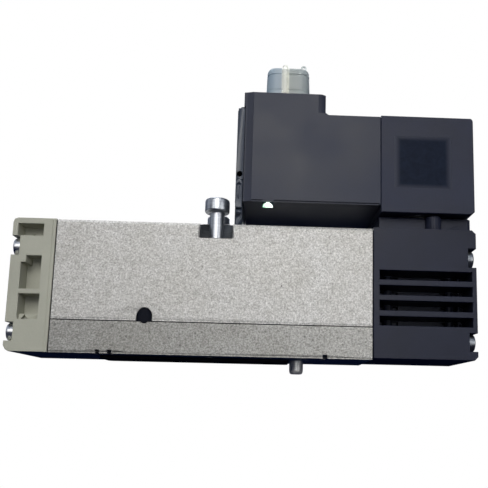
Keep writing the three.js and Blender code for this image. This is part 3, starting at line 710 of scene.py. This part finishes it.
# latch tongue with its round pocket above it, and a small foot below
TONGUE = [(5.62, 41.9), (7.55, 41.9)] + [(6.585 + 0.965 * math.cos(math.pi * k / 10), 49.2 + 1.1 * math.sin(math.pi * k / 10)) for k in range(0, 11)]
tongue = prism(TONGUE, "Y", -12.45, -10.4)
rim(tongue, TONGUE, "Y", -12.45, 1, 0.3)
cut(tongue, prism([(5.9, 44.3), (7.25, 44.3), (7.25, 48.6), (6.6, 49.3), (5.9, 48.6)], "Y", -13.0, -12.1))
join(side, tongue)
join(side, box(6.3, 6.8, -12.3, -12.0, 44.6, 48.2))
join(side, box(5.6, 7.5, -11.6, -10.2, 40.45, 41.6))
cut(side, lathe([(0, 0), (0.85, 0), (0.85, 2.6), (0, 2.6)], 40, "Y", (6.6, -12.8, 51.7)))
finish(side, "side_cover_moulding", M["cover"], "valve", ["plug_housing_cover"])

LENS = [(14.8 + 1.42 * math.cos(math.pi * k / 18), 42.5 + 1.08 * math.sin(math.pi * k / 18)) for k in range(19)]
lens = prism(LENS, "Y", -12.3, -11.0)
rim(lens, LENS, "Y", -12.3, 1, 0.25)
join(lens, box(14.3, 15.3, -12.0, -11.2, 42.6, 45.6))
finish(lens, "status_lens_moulding", M["lens"], "valve", ["status_lens"])


# ------------------------------------------------------------------ screws
def cap_screw_head(r, h, z0, x, y, hex_r, hex_d):
    e = 0.10
    head = lathe(
        [(0, z0), (r - 0.62, z0), (r - 0.36, z0 + 0.08), (r - 0.15, z0 + 0.24), (r - 0.03, z0 + 0.48), (r, z0 + 0.72), (r, z0 + h - 0.72), (r - 0.05, z0 + h - 0.48),
         (r - 0.18, z0 + h - 0.22), (r - 0.42, z0 + h - 0.05), (r - 0.75, z0 + h), (0, z0 + h)], 96, "Z", (x, y, 0))
    return cut(head, prism(circle(hex_r, 6, x, y, math.pi / 6), "Z", z0 + h - hex_d, z0 + h + 1))


def mounting_screw(side_name, x, y):
    head = cap_screw_head(3.5, 4.0, HEAD_Z, x, y, 1.74, 2.1)
    shank = lathe([(0, 13.0), (2.0, 13.0), (2.0, 40.66), (2.1, 40.84), (2.3, 41.0), (0, 41.0)], 72, "Z", (x, y, 0))
    tip = thread(2.0, 0.7, 0.9, 13.2, 0.36, 48, (x, y))
    join(head, shank)
    join(head, tip)
    finish(head, f"mounting_screw_{side_name}_m4", M["zinc"], f"{side_name}_screw", [f"mounting_screw_{side_name}"], smooth=30)


mounting_screw("front", SCREW_FX, -SCREW_Y)
mounting_screw("rear", SCREW_RX, SCREW_Y)


def end_screw(name, sign, seat, top, tip, y, z):
    h = abs(top - seat)
    r = 2.5
    prof = [(0, 0), (r, 0), (r, h - 0.55), (r - 0.07, h - 0.32), (r - 0.24, h - 0.12), (r - 0.55, h), (0, h)]
    head = lathe(prof, 72, "X", (0, 0, 0))
    if sign < 0:
        head.data.transform(Matrix.Rotation(math.pi, 4, "Z"))
    head.data.transform(Matrix.Translation((seat, y, z)))
    a, b = (seat - 0.05, tip) if sign < 0 else (tip, seat + 0.05)
    join(head, cyl("X", (y, z), 1.45, min(a, b), max(a, b), 48))
    c0, c1 = (top - 1, top + 1.4) if sign < 0 else (top - 1.4, top + 1)
    cut(head, prism(circle(1.4, 6, y, z), "X", c0, c1))
    finish(head, name + "_m3", M["zinc_x"] if sign < 0 else M["dark_x"], "valve", [name], smooth=30)


for side_name, s in (("front", -1), ("rear", 1)):
    for lvl, z in (("upper", END_ZT), ("lower", END_ZB)):
        end_screw(f"end_cover_screw_{side_name}_{lvl}", -1, -52.7, -54.85, -38, s * END_Y, z)
        end_screw(f"pilot_block_screw_{side_name}_{lvl}", 1, 71.3, 73.2, 37, s * END_Y, z)

# ------------------------------------------------------------------ locating pin
pin = lathe([(0, -3.8), (1.35, -3.8), (1.6, -3.72), (1.82, -3.5), (1.95, -3.1), (2.0, -2.6), (2.0, 5.0), (0, 5.0)], 72, "Z", (24.2, 0, 0))
finish(pin, "locating_pin_ground", M["pin"], "valve", ["locating_pin"])

# ------------------------------------------------------------------ round plug connector and its cap
shell = lathe([(4.2, 69.2), (4.9, 69.2), (4.9, 76.4), (6.5, 76.4), (6.5, 77.2), (6.3, 77.4), (5.95, 77.4), (5.95, 78.6), (4.9, 78.6), (4.9, 77.6), (4.2, 77.6)], 96, "Z", (M12_X, 0, 0))
tube = thread(5.97, 1.0, 78.4, 86.0, 0.55, 96, (M12_X, 0), 0.8, 4.9)
join(shell, tube)
finish(shell, "connector_shell_threaded", M["nickel"], "valve", ["m12_shell"], smooth=30)


def square_ring(h, r, z, n=10):
    pts = []
    for sx, sy, a0 in ((1, 1, 0), (-1, 1, 90), (-1, -1, 180), (1, -1, 270)):
        for k in range(n + 1):
            a = math.radians(a0 + 90 * k / n)
            pts.append((M12_X + sx * (h - r) + r * math.cos(a), sy * (h - r) + r * math.sin(a), z))
    return pts


def stack(rings):
    """Joins rings of equal count into one closed skin, capped at both ends."""
    bm = bmesh.new()
    vs = [[bm.verts.new(p) for p in ring] for ring in rings]
    k = len(vs[0])
    for a, b in zip(vs, vs[1:]):
        for i in range(k):
            bm.faces.new((a[i], a[(i + 1) % k], b[(i + 1) % k], b[i]))
    bm.faces.new(vs[0])
    bm.faces.new(vs[-1])
    return obj_of(bm)


CAP_WALL = [(6.60, 79.0), (6.60, 79.5), (6.56, 80.35), (6.36, 80.55), (6.36, 80.85), (6.53, 81.1), (6.46, 83.3), (6.40, 85.3), (6.20, 85.45), (6.20, 85.75), (6.38, 85.95),
            (6.36, 86.7), (6.30, 87.1), (6.16, 87.5), (5.92, 87.8), (5.62, 87.95), (5.2, 88.0)]
cap = stack([square_ring(h, min(2.9, h - 3.6) if z < 86.5 else 2.9 - (6.4 - h), z) for h, z in CAP_WALL])
rib = prism([(18.1, -6.0), (18.1, -6.42), (18.3, -6.62), (18.65, -6.76), (19.0, -6.8), (19.35, -6.76), (19.7, -6.62), (19.9, -6.42), (19.9, -6.0)], "Z", 79.7, 87.2)
nub = lathe([(0, 87.6), (0.85, 87.6), (0.84, 88.45), (0.74, 88.7), (0.5, 88.86), (0, 88.9)], 40, "Z", (19.0, -5.35, 0))
join(cap, rib)
join(cap, nub)
arc = [(24.55 + 0.85 * math.cos(math.pi * k / 14), 88.65 + 0.85 * math.sin(math.pi * k / 14)) for k in range(15)]
arc_in = [(24.55 + 0.45 * math.cos(math.pi * k / 14), 88.65 + 0.45 * math.sin(math.pi * k / 14)) for k in range(15)]
join(cap, prism([(25.4, 87.7)] + arc + [(23.7, 87.7), (24.1, 87.7)] + arc_in[::-1] + [(25.0, 87.7)], "Y", -4.6, -4.1))
cut(cap, cyl("Z", (M12_X, 0), 6.1, 78.0, 86.5, 96))
finish(cap, "protective_cap_moulding", M["cap"], "cap", ["protective_cap"], smooth=40)

# ------------------------------------------------------------------ materials on the CAD nodes that stay
KEEP = {
    "port_seal": "rubber", "end_cover_gasket": "rubber", "pilot_gasket": "rubber", "seat_seal": "rubber", "piston_seal": "rubber",
    "screw_retaining_ring_front": "rubber", "screw_retaining_ring_rear": "rubber", "manual_override_button": "cover",
    "return_spring": "wire", "armature_spring": "wire", "override_spring": "wire", "coil_yoke_plate": "soft_steel", "fixed_core": "soft_steel",
    "armature": "soft_steel", "armature_tube": "soft_steel", "coil_nut": "soft_steel", "coil_winding": "copper", "coil_bobbin": "bobbin",
    "circuit_board": "board", "contact_insert": "pilot", "spool": "spool", "pilot_piston": "piston",
    **{f"spool_seal_{i}": "rubber" for i in range(1, 7)}, **{f"contact_pin_{i}": "gold" for i in range(1, 5)},
}
for node, key in KEEP.items():
    ob = NODES[node]
    if not ob.material_slots:
        ob.data.materials.append(M[key])
    for sl in ob.material_slots:
        sl.material = M[key]


# ------------------------------------------------------------------ stage and light
def stage_mat(name, color, emit, one_sided=False):
    m = bpy.data.materials.new(name)
    m.use_nodes = True
    t = m.node_tree
    t.nodes.clear()
    out = t.nodes.new("ShaderNodeOutputMaterial")
    if emit:
        s = t.nodes.new("ShaderNodeEmission")
        s.inputs[0].default_value = (*color, 1)
        s.inputs[1].default_value = emit
    else:
        s = t.nodes.new("ShaderNodeAddShader")
        d = t.nodes.new("ShaderNodeBsdfDiffuse")
        d.inputs[0].default_value = (*color, 1)
        e = t.nodes.new("ShaderNodeEmission")
        e.inputs[0].default_value = (0.98, 0.99, 1.0, 1)
        e.inputs[1].default_value = 0.82
        t.links.new(d.outputs[0], s.inputs[0])
        t.links.new(e.outputs[0], s.inputs[1])
    if one_sided:
        mix = t.nodes.new("ShaderNodeMixShader")
        geo = t.nodes.new("ShaderNodeNewGeometry")
        tr = t.nodes.new("ShaderNodeBsdfTransparent")
        t.links.new(geo.outputs["Backfacing"], mix.inputs[0])
        t.links.new(s.outputs[0], mix.inputs[1])
        t.links.new(tr.outputs[0], mix.inputs[2])
        t.links.new(mix.outputs[0], out.inputs[0])
    else:
        t.links.new(s.outputs[0], out.inputs[0])
    return m


bm = bmesh.new()
bmesh.ops.create_grid(bm, x_segments=1, y_segments=1, size=1.6)
me = bpy.data.meshes.new("floor")
bm.to_mesh(me)
bm.free()
floor = bpy.data.objects.new("floor", me)
SCENE.collection.objects.link(floor)
floor.location = (0.01, 0, -0.0078)
me.materials.append(stage_mat("floor_paper", (0.24, 0.24, 0.24), 0, True))
floor.visible_diffuse = False
floor.visible_glossy = False

bm = bmesh.new()
bmesh.ops.create_uvsphere(bm, u_segments=48, v_segments=24, radius=4.0)
me = bpy.data.meshes.new("backdrop")
bm.to_mesh(me)
bm.free()
dome = bpy.data.objects.new("backdrop", me)
SCENE.collection.objects.link(dome)
me.materials.append(stage_mat("backdrop_white", (1, 1, 1), 1.0))
dome.visible_diffuse = False
dome.visible_glossy = False
dome.visible_shadow = False
dome.visible_volume_scatter = False

world = bpy.data.worlds.new("studio")
SCENE.world = world
world.use_nodes = True
wt = world.node_tree
wt.nodes.clear()
wo = wt.nodes.new("ShaderNodeOutputWorld")
wb = wt.nodes.new("ShaderNodeBackground")
wtc = wt.nodes.new("ShaderNodeTexCoord")
wsx = wt.nodes.new("ShaderNodeSeparateXYZ")
wr = wt.nodes.new("ShaderNodeValToRGB")
wmr = wt.nodes.new("ShaderNodeMapRange")
wmr.inputs["From Min"].default_value = -1.0
wmr.inputs["From Max"].default_value = 1.0
wt.links.new(wtc.outputs["Generated"], wsx.inputs[0])
wt.links.new(wsx.outputs["Z"], wmr.inputs["Value"])
wt.links.new(wmr.outputs["Result"], wr.inputs[0])
els = wr.color_ramp.elements
els[0].position, els[0].color = 0.42, (0.006, 0.016, 0.075, 1)
els[1].position, els[1].color = 0.75, (0.62, 0.72, 0.92, 1)
mid = els.new(0.52)
mid.color = (0.10, 0.13, 0.22, 1)
wt.links.new(wr.outputs[0], wb.inputs[0])
wb.inputs[1].default_value = 0.30
wt.links.new(wb.outputs[0], wo.inputs[0])


def area(name, loc, target, size, power, color=(1, 1, 1), size_y=None):
    d = bpy.data.lights.new(name, "AREA")
    d.energy = power
    d.color = color
    d.shape = "RECTANGLE"
    d.size = size
    d.size_y = size_y or size
    o = bpy.data.objects.new(name, d)
    SCENE.collection.objects.link(o)
    o.location = loc
    o.rotation_euler = (Vector(target) - Vector(loc)).to_track_quat("-Z", "Y").to_euler()
    o.visible_camera = False
    return o


TARGET = (0.01, 0.0, 0.04)
area("key_front", (-0.01, -0.74, 0.40), TARGET, 0.42, 3.5, (1.0, 0.985, 0.955), 0.50)
area("fill_right", (0.56, -0.54, 0.10), TARGET, 0.24, 1.05, (1.0, 0.99, 0.97), 0.42)
area("fill_low", (0.05, -0.80, -0.01), TARGET, 0.30, 0.80, (0.97, 0.985, 1.0), 0.10)
area("fill_left", (-0.78, -0.06, 0.30), TARGET, 0.40, 0.25, (0.93, 0.96, 1.0), 0.50)
area("fill_front_left", (-0.44, -0.70, 0.24), TARGET, 0.22, 0.60, (1.0, 0.99, 0.97), 0.30)
area("top_soft", (0.0, 0.10, 0.75), TARGET, 0.7, 2.6, (1.0, 1.0, 1.0), 0.5)
area("rear_soft", (0.05, 0.75, 0.40), TARGET, 0.6, 3.0, (0.97, 0.985, 1.0), 0.4)

SCENE.view_settings.view_transform = "Standard"
SCENE.view_settings.look = "None"
